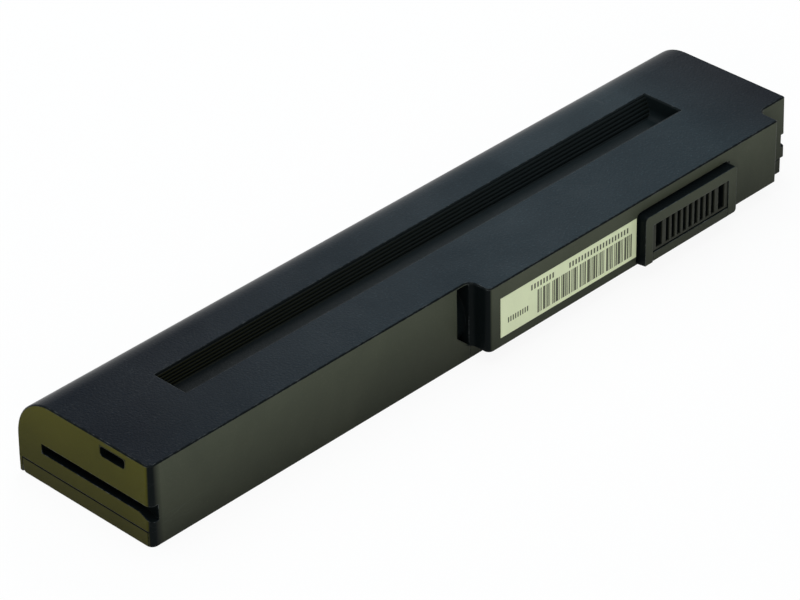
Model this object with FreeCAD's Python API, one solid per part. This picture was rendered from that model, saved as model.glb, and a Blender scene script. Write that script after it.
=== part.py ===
"""Six-cell laptop battery pack: a moulded shell and cover round two rows of three cells,
with a circuit board and a slotted connector in the step along the front.

Working axes: x runs along the pack from its left end, y runs back from the front wall of
the cell bay, z runs up from the underside. Everything is in millimetres."""

import FreeCAD
import Part
import math
import os

Vector = FreeCAD.Vector

# Cells: the size of one cell, and how the two rows lie
cell_diameter = 18.1
cell_length = 65.0
cells_in_row = 3
row_gap = 2.6
button_radius = 3.4
button_height = 0.9
shoulder_radius = 8.1
crimp_depth = 0.7
crimp_width = 1.2
crimp_from_end = 3.4

# Room round the cells
cell_gap_front = 0.15
cell_gap_back = 0.85
cell_gap_under = 0.2
cell_gap_over = 0.2
end_pad_thickness = 1.9

# Walls of the shell and the cover
wall = 1.1
end_wall = 1.7
cover_floor = 1.0
cover_height = 3.65
seam_gap = 0.22
joint_clearance = 0.1
end_draft = 0.45
left_corner_radius = 1.5
right_corner_radius = 0.5
top_edge_chamfer = 0.3
cover_inset_right = 1.1
cover_back_radius = 0.9
lip_foot_radius = 0.6
apron_end_inset = 0.03
tongue_thickness = 0.5
tongue_height = 0.9
tongue_clearance = 0.05

# Step along the front that holds the board
step_width = 99.2
step_right_margin = 10.15
step_depth = 5.85
step_corner_radius = 1.4
step_right_corner_radius = 0.6
step_inner_radius = 2.0

# Grip recess in the top, shallower at its left end
recess_left = 24.55
recess_right_margin = 22.25
recess_depth_left = 3.6
recess_depth_right = 4.95
recess_front_slope = 45.0
recess_back_slope = 60.5
recess_front_taper = 0.39
recess_back_taper = 0.87
recess_end_slope = 0.5
recess_end_radius = 2.2
recess_mouth_chamfer = 0.3
recess_wall = 0.75
recess_cell_gap = 0.1
rib_count = 6
rib_depth = 0.33
rib_crest_share = 0.5

# Guide slots across the ends, flared at the front
guide_low = 7.85
guide_height = 2.45
guide_back = 34.2
guide_depth_left = 2.4
guide_depth_right = 1.4
guide_flare_length = 3.6
guide_flare_drop = 1.6
guide_flare_drop_right = 1.1
guide_wall = 0.9

# Short key slot in the left end
key_front = 7.6
key_width = 7.6
key_low = 16.45
key_height = 2.5
key_corner_radius = 0.8

# Latch pocket in the front wall beside the step
latch_width = 3.3
latch_from_step = 0.75
latch_depth = 3.0
latch_low = 4.1
latch_ramp = 2.9
latch_lintel = 0.5
latch_wall = 0.8
latch_cell_wall = 0.55

# Connector: collar on the shell, slotted insert in its window, tab of the cover below
connector_from_step_right = 33.55
collar_reach_left = 15.85
collar_reach_right = 16.15
collar_top = 17.0
collar_depth = 2.35
collar_left_foot = 4.2
collar_right_foot = 4.5
collar_corner_radius = 1.0
collar_foot_radius = 0.8
collar_groove_width = 0.6
collar_groove_depth = 0.6
collar_groove_low = 4.4
insert_width = 26.3
insert_low = 6.95
insert_top = 14.05
insert_recess = 0.25
window_clearance = 0.12
tab_clearance = 0.2
contact_count = 9
contact_pitch = 2.0
contact_slot_width = 1.25
key_slot_offset = 10.95
key_slot_width = 2.2
slot_low = 7.5
insert_back_wall = 1.0
tab_front_drop = 0.6

# Contacts: two leaves on a base, with a tail through the insert and the board
leaf_thickness = 0.2
leaf_length = 3.2
leaf_height = 3.8
contact_width = 0.9
contact_base = 0.3
tail_width = 0.5
tail_clearance = 0.06

# Circuit board, on edge in the step
board_thickness = 1.0
board_height = 14.0
board_end_gap = 1.3
board_back = -0.6
rail_length = 2.6
rail_thickness = 1.0
rail_bottom_gap = 1.5
board_hole_clearance = 0.1

# Nickel links, papers, rings and the flexible sense strip
link_thickness = 0.15
link_width = 6.0
link_overreach = 3.0
link_tab_width = 4.0
link_foot_length = 3.0
paper_thickness = 0.3
paper_margin = 2.0
ring_thickness = 0.25
ring_inner_gap = 0.4
ring_outer_gap = 0.3
flex_thickness = 0.12
flex_width = 5.2
flex_branch_width = 10.0
flex_from_thermistor = 4.0
flex_riser_gap = 0.1
flex_lap_height = 4.0
flex_shelf_gap = 0.4

# Pieces on the board; a share counts from the board's left end to the connector
gauge_chip_share = 0.28
protection_chip_share = 0.52
discharge_mosfet_share = 0.72
chip_fuse_share = 0.87
sense_resistor_share = 0.555
first_capacitor_share = 0.14
capacitor_pitch_share = 0.06
capacitor_count = 6
charge_mosfet_share = 0.555
thermistor_from_cell_end = 7.0
thermistor_radius = 1.2

# Foam and insulation behind the board
insulator_thickness = 0.25
insulator_width = 48.0
insulator_height = 12.5
foam_width = 44.0
foam_height = 5.5
foam_cell_gap = 0.05

# Label on the step's front
label_from_step = 3.75
label_from_groove = 0.1
label_height = 10.4
label_low = 6.2
label_thickness = 0.1

# Sizes that follow from the ones above
cell_radius = cell_diameter / 2
front_row_y = wall + cell_gap_front + cell_radius
row_pitch = cell_diameter + row_gap
back_row_y = front_row_y + row_pitch
valley_y = (front_row_y + back_row_y) / 2
row_z = cover_floor + cell_gap_under + cell_radius
body_depth = back_row_y + cell_radius + cell_gap_back + wall
height = row_z + cell_radius + cell_gap_over + wall
back_radius = cell_radius + cell_gap_back + wall
link_fold = 2 * link_thickness + paper_thickness
stack_length = cells_in_row * cell_length + (cells_in_row - 1) * link_fold + 2 * link_thickness
stack_left = guide_depth_left + guide_wall + end_pad_thickness
stack_right = stack_left + stack_length
right_wall = guide_depth_right + guide_wall
length = stack_right + end_pad_thickness + right_wall
cell_pitch = cell_length + link_fold
first_cell_x = stack_left + link_thickness
shell_bottom = cover_height + seam_gap
step_right = length - step_right_margin
step_left = step_right - step_width
recess_right = length - recess_right_margin
connector_x = step_right - connector_from_step_right
collar_left = connector_x - collar_reach_left
collar_right = connector_x + collar_reach_right
insert_left = connector_x - insert_width / 2
insert_right = connector_x + insert_width / 2
contact_z = (slot_low + insert_top) / 2
collar_front = -step_depth - collar_depth
insert_front = collar_front + insert_recess
board_front = board_back - board_thickness
board_left = step_left + wall + board_end_gap
board_right = step_right - wall - board_end_gap
shelf_top = shell_bottom + cover_floor
board_run = insert_left - board_left
middle_cell_end = first_cell_x + cell_pitch + cell_length
thermistor_x = middle_cell_end - thermistor_from_cell_end
latch_right = step_left - latch_from_step
latch_left = latch_right - latch_width
cover_back = body_depth - wall - seam_gap
reach = 2.0


def block(x0, x1, y0, y1, z0, z1):
    """A box between two corners."""
    return Part.makeBox(x1 - x0, y1 - y0, z1 - z0, Vector(x0, y0, z0))


def closed_face(points):
    """A flat face inside a closed run of points."""
    return Part.Face(Part.makePolygon(points + [points[0]]))


def prism_x(profile, x0, x1):
    """A profile of (y, z) points, drawn out along x."""
    face = closed_face([Vector(x0, y, z) for y, z in profile])
    return face.extrude(Vector(x1 - x0, 0, 0))


def prism_y(profile, y0, y1):
    """A profile of (x, z) points, drawn out along y."""
    face = closed_face([Vector(x, y0, z) for x, z in profile])
    return face.extrude(Vector(0, y1 - y0, 0))


def prism_z(profile, z0, z1):
    """A profile of (x, y) points, drawn out along z."""
    face = closed_face([Vector(x, y, z0) for x, y in profile])
    return face.extrude(Vector(0, 0, z1 - z0))


def rod_x(radius, y, z, x0, x1):
    """A round bar along x."""
    return Part.makeCylinder(radius, x1 - x0, Vector(x0, y, z), Vector(1, 0, 0))


def upright_edges(shape, x, y):
    """The edges of a shape that stand upright at a place in plan."""
    found = []
    for edge in shape.Edges:
        ends = [vertex.Point for vertex in edge.Vertexes]
        if len(ends) == 2 and all(abs(p.x - x) < 0.01 and abs(p.y - y) < 0.01 for p in ends):
            found.append(edge)
    return found


def rounded_upright(shape, x, y, radius):
    """The shape with its upright edge at (x, y) rounded."""
    return shape.makeFillet(radius, upright_edges(shape, x, y))


def edges_between(shape, low, high):
    """The edges of a shape that lie wholly inside a box."""
    found = []
    for edge in shape.Edges:
        ends = [vertex.Point for vertex in edge.Vertexes]
        if all(low[i] <= p[i] <= high[i] for p in ends for i in range(3)):
            found.append(edge)
    return found


def bay_profile(inset, z_low):
    """Section across the cell bay: flat top, big round at the back, open foot at z_low."""
    front = inset
    back = body_depth - inset
    top = height - inset
    radius = back_radius - inset
    centre = Vector(0, back - radius, top - radius)
    halfway = centre + Vector(0, radius * math.sin(math.pi / 4), radius * math.cos(math.pi / 4))
    arc_start = Vector(0, back - radius, top)
    arc_end = Vector(0, back, top - radius)
    edges = [
        Part.makeLine(Vector(0, front, z_low), Vector(0, front, top)),
        Part.makeLine(Vector(0, front, top), arc_start),
        Part.Arc(arc_start, halfway, arc_end).toShape(),
        Part.makeLine(arc_end, Vector(0, back, z_low)),
        Part.makeLine(Vector(0, back, z_low), Vector(0, front, z_low)),
    ]
    return Part.Face(Part.Wire(edges))


def drafted_ends(z_low):
    """Outline from the front, narrower at the top by the draft of the end walls."""
    return [(0, z_low), (0, shell_bottom), (end_draft, height), (end_draft, height + reach),
            (length - end_draft, height + reach), (length - end_draft, height),
            (length, shell_bottom), (length, z_low)]


def step_block(inset, z0, z1):
    """The step along the front, drawn in from its outer faces by an inset."""
    return block(step_left + inset, step_right - inset, -step_depth + inset, reach, z0, z1)


def shell_outside():
    """The outer form of the top shell with the step, before anything is cut from it."""
    bay = bay_profile(0, shell_bottom).extrude(Vector(length, 0, 0))
    bay = bay.common(prism_y(drafted_ends(shell_bottom), -reach, body_depth + reach))
    step = step_block(0, shell_bottom, height)
    step = rounded_upright(step, step_left, -step_depth, step_corner_radius)
    step = rounded_upright(step, step_right, -step_depth, step_right_corner_radius)
    form = bay.fuse(step).removeSplitter()
    form = rounded_upright(form, step_left, 0, step_inner_radius)
    form = rounded_upright(form, step_right, 0, step_inner_radius)
    left_corner = edges_between(form, (-1, -0.01, 0), (1, 0.01, height + 1))
    form = form.makeFillet(left_corner_radius, [e for e in left_corner if e.Length > wall])
    right_corner = edges_between(form, (length - 1, -0.01, 0), (length + 1, 0.01, height + 1))
    form = form.makeFillet(right_corner_radius, [e for e in right_corner if e.Length > wall])
    return eased_top(form)


def eased_top(form):
    """The form with its front and end edges eased along the top."""
    rim = []
    for edge in form.Edges:
        ends = [vertex.Point for vertex in edge.Vertexes]
        at_top = all(abs(p.z - height) < 0.01 for p in ends)
        along_back = all(p.y > body_depth - back_radius - 0.01 for p in ends)
        if at_top and not along_back:
            rim.append(edge)
    return form.makeChamfer(top_edge_chamfer, rim)


def line_across(row_y, distance, slope, side):
    """Points of a sloped wall beside a cell row, as a function from height to y.

    The wall stands at a distance from the row's axis; side is +1 behind the row, -1 before it."""
    angle = math.radians(slope)
    foot_y = row_y + side * distance * math.sin(angle)
    foot_z = row_z + distance * math.cos(angle)

    def y_at(z):
        return foot_y - side * (z - foot_z) / math.tan(angle)
    return y_at


def recess_section(x, depth, front_spread, back_spread, skin):
    """Section of the grip recess at x, grown by a skin towards the cells."""
    clear = cell_radius + recess_cell_gap + recess_wall
    front_wall = line_across(front_row_y, clear + front_spread - skin, recess_front_slope, 1)
    crest = clear + rib_depth + back_spread
    back_wall = line_across(back_row_y, crest - (skin + rib_depth if skin else 0), recess_back_slope, -1)
    floor_z = height - depth - skin
    top_z = height + reach
    points = [(front_wall(top_z), top_z), (front_wall(floor_z), floor_z), (back_wall(floor_z), floor_z)]
    if not skin:
        points += rib_points(back_wall, floor_z, height)
    points.append((back_wall(top_z), top_z))
    return Part.makePolygon([Vector(x, y, z) for y, z in points + [points[0]]])


def rib_points(back_wall, low, high):
    """Corners of the fine ribs up the back wall of the recess."""
    step = (high - low) / rib_count
    angle = math.radians(recess_back_slope)
    into_wall = (rib_depth * math.sin(angle), -rib_depth * math.cos(angle))
    points = []
    for i in range(rib_count):
        groove_low = low + step * (i + rib_crest_share / 2)
        groove_high = low + step * (i + 1 - rib_crest_share / 2)
        middle = (groove_low + groove_high) / 2
        points.append((back_wall(groove_low), groove_low))
        points.append((back_wall(middle) + into_wall[0], middle + into_wall[1]))
        points.append((back_wall(groove_high), groove_high))
    return points


def recess_form(skin):
    """The grip recess as a solid; with a skin it is the trough that surrounds the recess."""
    left = recess_section(recess_left - skin, recess_depth_left, recess_front_taper, recess_back_taper, skin)
    right = recess_section(recess_right + skin, recess_depth_right, 0, 0, skin)
    trough = Part.makeLoft([left, right], True, True)
    form = trough.common(recess_ends(skin))
    return form if skin else form.fuse(recess_mouth())


def recess_ends(skin):
    """The sloped ends of the recess as a block to keep; the right end is hollow at its foot."""
    rise = height + reach
    low = height - recess_depth_right - skin
    slope_left = recess_end_slope / recess_depth_left
    slope_right = recess_end_slope / recess_depth_right
    foot_left = recess_left - skin + slope_left * (height - low)
    foot_right = recess_right + skin - slope_right * (height - low)
    top_left = Vector(recess_left - skin - slope_left * reach, 0, rise)
    top_right = Vector(recess_right + skin + slope_right * reach, 0, rise)
    radius = recess_end_radius + skin
    across = math.hypot(1, slope_right)
    centre = Vector(foot_right + radius * (slope_right - across), 0, low + radius)
    down = Vector(0, 0, -radius)
    aside = Vector(radius / across, 0, -radius * slope_right / across)
    halfway = (down + aside).normalize() * radius
    hollow = Part.Arc(centre + down, centre + halfway, centre + aside).toShape()
    edges = [Part.makeLine(top_left, Vector(foot_left, 0, low)),
             Part.makeLine(Vector(foot_left, 0, low), centre + down), hollow,
             Part.makeLine(centre + aside, top_right), Part.makeLine(top_right, top_left)]
    return Part.Face(Part.Wire(edges)).extrude(Vector(0, body_depth, 0))


def recess_mouth():
    """The eased edge round the mouth of the recess."""
    clear = cell_radius + recess_cell_gap + recess_wall
    rings = []
    for z, grow in ((height - recess_mouth_chamfer, 0), (height + reach, recess_mouth_chamfer + reach)):
        ring = []
        for x, front, back in ((recess_left, recess_front_taper, recess_back_taper), (recess_right, 0, 0)):
            front_wall = line_across(front_row_y, clear + front, recess_front_slope, 1)
            back_wall = line_across(back_row_y, clear + rib_depth + back, recess_back_slope, -1)
            side = -1 if x == recess_left else 1
            ring.append((x + side * grow, front_wall(height) - grow, back_wall(height) + grow))
        (x0, front0, back0), (x1, front1, back1) = ring
        corners = [(x0, front0), (x1, front1), (x1, back1), (x0, back0)]
        points = [Vector(x, y, z) for x, y in corners]
        rings.append(Part.makePolygon(points + [points[0]]))
    return Part.makeLoft(rings, True, True)


def guide_profile(flare_drop):
    """Section of a guide slot seen from the end, open and flared at the front."""
    top = guide_low + guide_height
    return [(guide_back, guide_low), (guide_back, top), (-reach, top),
            (-reach, guide_low - flare_drop), (0, guide_low - flare_drop),
            (guide_flare_length, guide_low)]


def guide_pocket():
    """Walls round the left guide slot, inside the shell."""
    top = guide_low + guide_height + guide_wall
    low = guide_low - guide_flare_drop - guide_wall
    return block(0.5, guide_depth_left + guide_wall, 0.5, guide_back + guide_wall, low, top)


def key_slot():
    """Short slot above the guide slot in the left end."""
    slot = block(-reach, guide_depth_left, key_front, key_front + key_width, key_low, key_low + key_height)
    return slot.makeFillet(key_corner_radius, [e for e in slot.Edges if e.Length > guide_depth_left + 1
                                               and abs(e.tangentAt(0).x) > 0.9])


def key_pocket():
    """Walls round the key slot, up to the top of the shell."""
    return block(end_wall - 0.5, guide_depth_left + guide_wall, key_front - guide_wall,
                 key_front + key_width + guide_wall, key_low - guide_wall, height - 0.5)


def latch_pocket():
    """The latch pocket beside the step: a ramp for its foot, and a back that follows the cell."""
    outline = [(latch_left, latch_low + latch_ramp), (latch_right, latch_low),
               (latch_right, height - latch_lintel), (latch_left, height - latch_lintel)]
    pocket = prism_y(outline, -reach, latch_depth)
    keep = cell_radius + recess_cell_gap + latch_cell_wall
    return pocket.cut(rod_x(keep, front_row_y, row_z, latch_left - 1, latch_right + 1))


def latch_walls():
    """Walls round the latch pocket, clear of the cell."""
    walls = block(latch_left - latch_wall, latch_right + latch_wall, 0.5, latch_depth + latch_wall,
                  shell_bottom, height - 0.5)
    keep = cell_radius + recess_cell_gap
    return walls.cut(rod_x(keep, front_row_y, row_z, latch_left - reach, latch_right + reach))


def collar_profile(foot):
    """Section across the collar, whose underside rises to its foot at the front."""
    root = -step_depth + wall - joint_clearance
    return [(root, shell_bottom), (-step_depth, shell_bottom), (collar_front, foot),
            (collar_front, collar_top), (root, collar_top)]


def connector_collar():
    """Collar that carries the connector in front of the step, with its outer corners rounded."""
    left_half = prism_x(collar_profile(collar_left_foot), collar_left, connector_x)
    right_half = prism_x(collar_profile(collar_right_foot), connector_x, collar_right)
    top_left = edges_between(left_half, (collar_left - 0.1, collar_front - 0.1, collar_top - 0.1),
                             (collar_left + 0.1, 0, collar_top + 0.1))
    left_half = left_half.makeFillet(collar_corner_radius, top_left)
    top_right = edges_between(right_half, (collar_right - 0.1, collar_front - 0.1, collar_top - 0.1),
                              (collar_right + 0.1, 0, collar_top + 0.1))
    right_half = right_half.makeFillet(collar_corner_radius, top_right)
    foot = edges_between(right_half, (collar_right - 0.1, collar_front - 0.1, shell_bottom - 0.1),
                         (collar_right + 0.1, -step_depth + 0.1, collar_right_foot + 0.1))
    right_half = right_half.makeFillet(collar_foot_radius, foot)
    return left_half.fuse(right_half).removeSplitter()


def collar_groove():
    """The groove in the step's wall along the left side and the top of the collar."""
    left = collar_left - collar_groove_width
    top = collar_top + collar_groove_width
    right = collar_right - collar_corner_radius
    groove = block(left, right, -step_depth - reach, -step_depth + collar_groove_depth, collar_groove_low, top)
    corner = [e for e in groove.Edges if all(abs(v.X - left) < 0.01 and abs(v.Z - top) < 0.01
                                             for v in e.Vertexes)]
    groove = groove.makeFillet(collar_corner_radius + collar_groove_width, corner)
    return groove.cut(connector_collar())


def connector_window(clearance):
    """The opening for the insert and the cover's tab, open at the bottom."""
    return block(insert_left - clearance, insert_right + clearance, collar_front - reach,
                 -step_depth + wall + clearance, shell_bottom - reach, insert_top + clearance)


def board_rail(edge_x, facing):
    """A channel under the top of the shell that takes one end of the board."""
    wall_x = edge_x - facing * (board_end_gap + 0.3)
    inner_x = edge_x + facing * (rail_length - board_end_gap)
    low = shelf_top + rail_bottom_gap
    rail = block(min(wall_x, inner_x), max(wall_x, inner_x), board_front - joint_clearance - rail_thickness,
                 board_back + joint_clearance + rail_thickness, low, height - 0.5)
    slot_end = edge_x - facing * joint_clearance
    slot = block(min(slot_end, inner_x + facing), max(slot_end, inner_x + facing),
                 board_front - joint_clearance / 2, board_back + joint_clearance / 2,
                 low - 1, shelf_top + board_height + joint_clearance)
    return rail.cut(slot)


def tongue_ring(grow, z0, z1):
    """The tongue of the cover, as a ring inside the walls; with grow it is the rebate for it."""
    left = end_wall
    right = length - right_wall
    front = wall
    back = cover_back + grow
    out = tongue_thickness + grow
    outer = block(left - out, right + out, front - out, back, z0, z1)
    ring = outer.cut(block(left, right, front, back + 1, z0 - 1, z1 + 1))
    gap_right = step_right + wall - grow
    return ring.cut(block(-1, gap_right, -1, front + 1 - grow, z0 - 1, z1 + 1))


def front_apron():
    """The shell's front wall left of the step, which runs down past the cover."""
    left = apron_end_inset
    top = shell_bottom + wall / 2
    apron = block(left, step_left, 0, wall, 0, top)
    corner = block(left, step_left, 0, body_depth, 0, top)
    return apron.common(rounded_upright(corner, left, 0, left_corner_radius))


def make_top_shell():
    """The moulded upper half of the case, with its back and front walls running down past the cover."""
    lip = block(0, length, body_depth - wall, body_depth, 0, shell_bottom + 0.5)
    lip_ends = upright_edges(lip, 0, body_depth) + upright_edges(lip, length, body_depth)
    lip = lip.makeChamfer(top_edge_chamfer, lip_ends)
    lip_foot = edges_between(lip, (-1, body_depth - 0.1, -0.1), (length + 1, body_depth + 0.1, 0.1))
    lip = lip.makeFillet(lip_foot_radius, lip_foot)
    shell = shell_outside().fuse(lip).fuse(front_apron())
    shell = shell.fuse(connector_collar())
    room = bay_profile(wall, shell_bottom - reach).extrude(Vector(length - end_wall - right_wall, 0, 0))
    room.translate(Vector(end_wall, 0, 0))
    room = room.fuse(step_block(wall, shell_bottom - reach, height - wall))
    room = room.cut(recess_form(recess_wall))
    room = room.cut(guide_pocket())
    room = room.cut(key_pocket())
    room = room.cut(latch_walls())
    shell = shell.cut(room)
    shell = shell.fuse(board_rail(board_left, 1))
    shell = shell.fuse(board_rail(board_right, -1))
    left_guide = prism_x(guide_profile(guide_flare_drop), -reach, guide_depth_left)
    right_guide = prism_x(guide_profile(guide_flare_drop_right), length - guide_depth_right, length + reach)
    for cutter in (recess_form(0), left_guide, right_guide, key_slot(), latch_pocket(),
                   collar_groove(), connector_window(window_clearance),
                   tongue_ring(tongue_clearance, shell_bottom - 1,
                               cover_height + tongue_height + joint_clearance)):
        shell = shell.cut(cutter)
    return shell.removeSplitter()


def make_bottom_cover():
    """The lower half of the case: a shallow tray with a shelf and a tab under the connector."""
    tray = block(0, length - cover_inset_right, 0, cover_back, 0, cover_height)
    tray = rounded_upright(tray, 0, 0, left_corner_radius)
    tray = rounded_upright(tray, length - cover_inset_right, 0, right_corner_radius)
    back_foot = [e for e in tray.Edges if all(abs(v.Z) < 0.01 and abs(v.Y - cover_back) < 0.01
                                              for v in e.Vertexes)]
    tray = tray.makeFillet(cover_back_radius, back_foot)
    back_rise = cover_height + tongue_height
    tray = tray.fuse(block(end_wall, length - right_wall, cover_back - wall, cover_back, 0.95, back_rise))
    tray = tray.cut(block(end_wall, length - right_wall, wall, cover_back - wall, cover_floor, back_rise + 1))
    behind_apron = wall + joint_clearance
    tray = tray.cut(block(-1, step_left + joint_clearance, -1, behind_apron, -1, cover_height + 1))
    tray = tray.fuse(block(end_wall - 0.5, step_left + wall, behind_apron, behind_apron + wall, 0, cover_height))
    tray = tray.fuse(tongue_ring(0, cover_height - 0.5, cover_height + tongue_height))
    shelf_inset = wall + joint_clearance
    shelf = block(step_left + shelf_inset, step_right - shelf_inset, -step_depth + shelf_inset, wall,
                  shell_bottom, shelf_top)
    riser = block(step_left + shelf_inset, step_right - shelf_inset, 0.3, wall, cover_floor, shelf_top)
    tray = tray.fuse(shelf).fuse(riser)
    tray = tray.fuse(cover_tab())
    return tray.removeSplitter()


def cover_tab():
    """The tab that closes the connector window under the insert."""
    back = -step_depth + wall + joint_clearance + 0.5
    top = insert_low - tab_clearance
    profile = [(back, shell_bottom), (-step_depth, shell_bottom),
               (collar_front, shell_bottom + tab_front_drop), (collar_front, top), (back, top)]
    return prism_x(profile, insert_left, insert_right)


def contact_places():
    """The x of each contact's middle."""
    first = connector_x - contact_pitch * (contact_count - 1) / 2
    return [first + contact_pitch * i for i in range(contact_count)]


def make_connector_insert():
    """The slotted block that carries the contacts; its slots are open along the top."""
    insert = block(insert_left, insert_right, insert_front, board_front, insert_low, insert_top)
    slot_back = board_front - insert_back_wall
    widths = [(x, contact_slot_width) for x in contact_places()]
    widths += [(connector_x - key_slot_offset, key_slot_width), (connector_x + key_slot_offset, key_slot_width)]
    for x, width in widths:
        insert = insert.cut(block(x - width / 2, x + width / 2, collar_front - 1, slot_back,
                                  slot_low, insert_top + 1))
    hole = tail_width / 2 + tail_clearance
    for x in contact_places():
        insert = insert.cut(block(x - hole, x + hole, slot_back - 1, board_front + 1,
                                  contact_z - hole, contact_z + hole))
    return insert


def make_contact(x):
    """A fork contact: base, two leaves that pinch inwards at the mouth, and a soldered tail."""
    z = contact_z
    base_back = board_front - insert_back_wall
    base_front = base_back - contact_base
    half = contact_width / 2
    tip = base_front - leaf_length
    neck = base_front - leaf_length * 0.75
    pinch = half - 0.15
    outline = [(x - half, base_back), (x - half, base_front), (x - pinch, neck), (x - half, tip),
               (x - half + leaf_thickness, tip), (x - pinch + leaf_thickness, neck),
               (x - half + leaf_thickness, base_front), (x + half - leaf_thickness, base_front),
               (x + pinch - leaf_thickness, neck), (x + half - leaf_thickness, tip),
               (x + half, tip), (x + pinch, neck), (x + half, base_front), (x + half, base_back)]
    fork = prism_z(outline, z - leaf_height / 2, z + leaf_height / 2)
    tail = block(x - tail_width / 2, x + tail_width / 2, base_back - 0.05, board_back,
                 z - tail_width / 2, z + tail_width / 2)
    return fork.fuse(tail)


def make_circuit_board():
    """The board, standing on the cover's shelf with its ends in the shell's rails."""
    board = block(board_left, board_right, board_front, board_back, shelf_top, shelf_top + board_height)
    half = tail_width / 2 + board_hole_clearance
    for x in contact_places():
        board = board.cut(block(x - half, x + half, board_front - 1, board_back + 1,
                                contact_z - half, contact_z + half))
    return board


def on_board(share):
    """The x at a share of the board's run from its left end to the connector."""
    return board_left + board_run * share


def chip(x, z, width, tall, thick, bevel):
    """A moulded chip on the front of the board, with a bevelled face."""
    body = block(x - width / 2, x + width / 2, board_front - thick, board_front, z - tall / 2, z + tall / 2)
    face = [e for e in body.Edges if all(abs(v.Y - (board_front - thick)) < 0.01 for v in e.Vertexes)]
    return body.makeChamfer(bevel, face)


def make_capacitors():
    """Small capacitors in a row under the gauge chip."""
    pitch = board_run * capacitor_pitch_share
    first = on_board(first_capacitor_share)
    parts = [chip(first + pitch * i, shelf_top + 2.2, 2.0, 1.25, 1.0, 0.1) for i in range(capacitor_count)]
    return Part.makeCompound(parts)


def make_thermistor():
    """A bead on the back of the board that reaches the middle cell."""
    tip = wall + cell_gap_front - foam_cell_gap
    place = Vector(thermistor_x, board_back, row_z)
    return Part.makeCylinder(thermistor_radius, tip - board_back, place, Vector(0, 1, 0))


def make_cell(x, y):
    """One steel can, turned: flat base at the left, crimped neck and button at the right."""
    button_x = x + cell_length
    shoulder_x = button_x - button_height
    crimp_x = shoulder_x - crimp_from_end
    r = cell_radius
    low = r - crimp_depth
    outline = [(x, 0), (x, r), (crimp_x - crimp_width / 2, r), (crimp_x, low),
               (crimp_x + crimp_width / 2, r), (shoulder_x, shoulder_radius),
               (shoulder_x, button_radius), (button_x, button_radius), (button_x, 0)]
    face = closed_face([Vector(px, y, row_z + pr) for px, pr in outline])
    return face.revolve(Vector(0, y, row_z), Vector(1, 0, 0), 360)


def make_ring(x, y):
    """Insulating ring on the shoulder of a cell, round its button."""
    shoulder_x = x + cell_length - button_height
    outer = rod_x(shoulder_radius - ring_outer_gap, y, row_z, shoulder_x, shoulder_x + ring_thickness)
    return outer.cut(rod_x(button_radius + ring_inner_gap, y, row_z, shoulder_x - 1, shoulder_x + 1))


def link_plate(x0, x1):
    """Bar across the ends of both rows, with a tab down the valley to the sense strip."""
    foot = cover_floor + flex_thickness
    bar_low = row_z - link_width / 2
    bar_high = row_z + link_width / 2
    tab = link_tab_width / 2
    outline = [(front_row_y - link_overreach, bar_low), (valley_y - tab, bar_low), (valley_y - tab, foot),
               (valley_y + tab, foot), (valley_y + tab, bar_low), (back_row_y + link_overreach, bar_low),
               (back_row_y + link_overreach, bar_high), (front_row_y - link_overreach, bar_high)]
    return prism_x(outline, x0, x1)


def link_foot(x0, x1):
    """The folded foot of a link, flat on the sense strip."""
    foot = cover_floor + flex_thickness
    tab = link_tab_width / 2
    return block(x0, x1, valley_y - tab, valley_y + tab, foot, foot + link_thickness)


def make_end_link(x, into_stack):
    """Link at one end of the stack, its foot folded under the cells."""
    plate = link_plate(x, x + link_thickness)
    if into_stack > 0:
        return plate.fuse(link_foot(x, x + link_foot_length)).removeSplitter()
    return plate.fuse(link_foot(x + link_thickness - link_foot_length, x + link_thickness)).removeSplitter()


def make_folded_link(x):
    """Link between two groups of cells, folded over at the foot."""
    near = link_plate(x, x + link_thickness)
    far = link_plate(x + link_fold - link_thickness, x + link_fold)
    return near.fuse(far).fuse(link_foot(x, x + link_fold)).removeSplitter()


def make_link_paper(x):
    """Insulating paper inside a folded link."""
    low = row_z - link_width / 2 - paper_margin
    high = row_z + link_width / 2 + paper_margin
    return block(x + link_thickness, x + link_thickness + paper_thickness,
                 front_row_y - link_overreach - paper_margin, back_row_y + link_overreach + paper_margin,
                 low, high)


def make_end_pad(x0, x1):
    """Foam pad that takes up the play at one end of the stack."""
    return block(x0, x1, front_row_y - link_overreach, back_row_y + link_overreach,
                 row_z - link_width, row_z + link_width)


def make_sense_flex():
    """Flexible strip along the valley, with a branch under the front row up to the board."""
    low = cover_floor
    high = cover_floor + flex_thickness
    run = block(stack_left, stack_right, valley_y - flex_width / 2, valley_y + flex_width / 2, low, high)
    back = valley_y - flex_width / 2 + 0.5
    riser_y = wall + flex_riser_gap
    shelf = shelf_top + flex_shelf_gap
    lap = board_back + flex_thickness
    branch = [(back, low), (riser_y, low), (riser_y, shelf), (board_back, shelf),
              (board_back, shelf + flex_lap_height), (lap, shelf + flex_lap_height),
              (lap, shelf + flex_thickness), (riser_y + flex_thickness, shelf + flex_thickness),
              (riser_y + flex_thickness, high), (back, high)]
    branch_right = thermistor_x - flex_from_thermistor
    return run.fuse(prism_x(branch, branch_right - flex_branch_width, branch_right)).removeSplitter()


def make_board_insulator():
    """Insulating sheet on the solder side of the board, behind the connector."""
    low = shelf_top + (board_height - insulator_height) / 2
    return block(connector_x - insulator_width / 2, connector_x + insulator_width / 2, board_back,
                 board_back + insulator_thickness, low, low + insulator_height)


def make_board_foam():
    """Foam strip between the insulator and the front cells."""
    return block(connector_x - foam_width / 2, connector_x + foam_width / 2, board_back + insulator_thickness,
                 wall + cell_gap_front - foam_cell_gap, row_z - foam_height / 2, row_z + foam_height / 2)


def make_label():
    """Paper label on the front of the step."""
    left = step_left + label_from_step
    right = collar_left - collar_groove_width - label_from_groove
    return block(left, right, -step_depth - label_thickness, -step_depth, label_low, label_low + label_height)


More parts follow.
